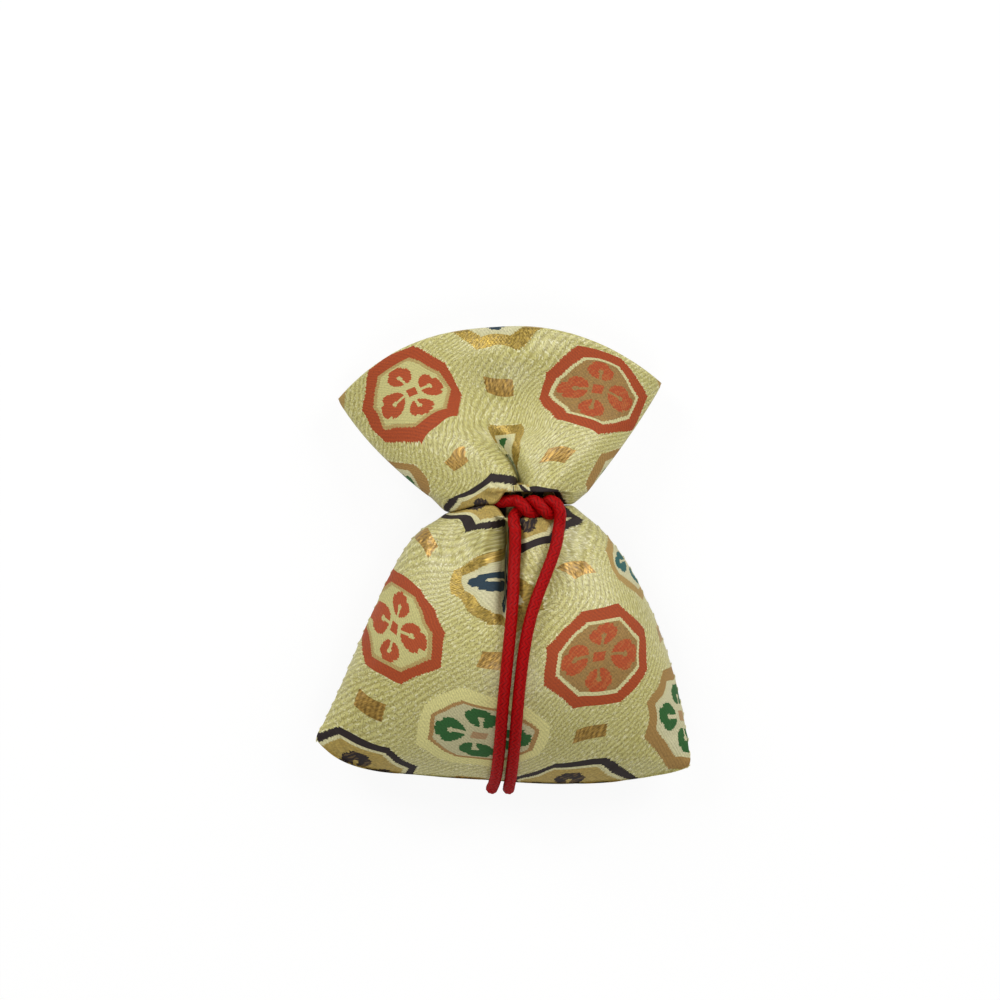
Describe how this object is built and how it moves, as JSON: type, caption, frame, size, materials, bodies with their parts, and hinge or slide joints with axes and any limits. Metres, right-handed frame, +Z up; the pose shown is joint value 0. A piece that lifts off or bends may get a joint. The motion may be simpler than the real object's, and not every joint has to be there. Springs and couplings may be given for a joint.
{
  "type": "kinchaku drawstring pouch",
  "caption": "Small filled brocade pouch lying on its back, gathered at the neck below a flared mouth and tied with a round red cord whose tails lie on the front.",
  "frame": {"origin": "on the surface the pouch lies on, under the centre of the pouch", "axes": "+Y towards the mouth, +Z up out of the front panel, +X to the right for someone looking down on the front"},
  "size_m": [0.0596, 0.0743, 0.0224],
  "materials": {
    "brocade": "woven silk brocade with gold-coloured thread, soft sheen",
    "red_cord": "round braided cord, satin"
  },
  "bodies": {
    "root": {"brocade_pouch": "brocade", "neck_cord": "red_cord", "left_tail": "red_cord", "right_tail": "red_cord"}
  },
  "joints": []
}
